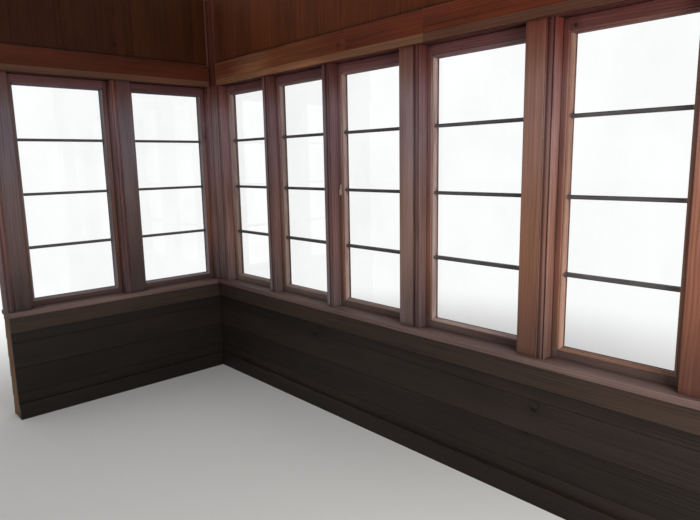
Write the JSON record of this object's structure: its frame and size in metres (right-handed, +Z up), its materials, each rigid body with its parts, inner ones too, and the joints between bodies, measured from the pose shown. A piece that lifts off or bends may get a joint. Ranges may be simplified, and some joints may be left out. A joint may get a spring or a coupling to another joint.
{
  "type": "fire lookout cab corner window wall",
  "caption": "Corner of a timber lookout cab: two walls of tall fixed windows with glazing bars, wide posts, moulded stops, stool, header board, lining and outside siding.",
  "frame": {"origin": "middle of the bounding box at floor level", "axes": "+Z up; the long wall runs along Y on the +X side, the short wall runs along X on the +Y side, and the room lies towards -X and -Y"},
  "size_m": [1.56, 3.417, 2.64],
  "materials": {
    "framing": "rough sawn",
    "lining": "dark stained",
    "outside_wood": "weathered",
    "stool": "worn varnish",
    "posts": "satin varnish",
    "sashes": "satin varnish",
    "glazing_bars": "satin varnish",
    "glass": "clear",
    "stops": "satin varnish",
    "header": "satin varnish",
    "header_strip": "satin varnish",
    "upper_boards": "satin varnish",
    "catch_metal": "worn"
  },
  "bodies": {
    "root": {"long_knee_frame": "framing", "short_knee_frame": "framing", "long_lining": "lining", "short_lining": "lining", "long_base_board": "lining", "short_base_board": "lining", "long_siding": "outside_wood", "short_siding": "outside_wood", "long_stool": "stool", "short_stool": "stool", "long_apron": "stool", "short_apron": "stool", "long_outer_sill": "outside_wood", "short_outer_sill": "outside_wood", "corner_post": "posts", "corner_stud": "posts", "narrow_mullions": "posts", "wide_posts": "posts", "long_end_post": "posts", "short_mullion": "posts", "short_end_post": "posts", "long_lintels": "framing", "short_lintels": "framing", "long_sashes": "sashes", "short_sashes": "sashes", "long_glazing_bars": "glazing_bars", "short_glazing_bars": "glazing_bars", "long_glass": "glass", "short_glass": "glass", "long_stops": "stops", "short_stops": "stops", "long_header": "header", "short_header": "header", "long_header_strip": "header_strip", "short_header_strip": "header_strip", "long_upper_boards": "upper_boards", "short_upper_boards": "upper_boards", "long_top_plate": "framing", "short_top_plate": "framing", "long_upper_siding": "outside_wood", "short_upper_siding": "outside_wood", "long_casings": "outside_wood", "short_casings": "outside_wood", "corner_boards": "outside_wood", "sash_catch": "catch_metal"}
  },
  "joints": []
}
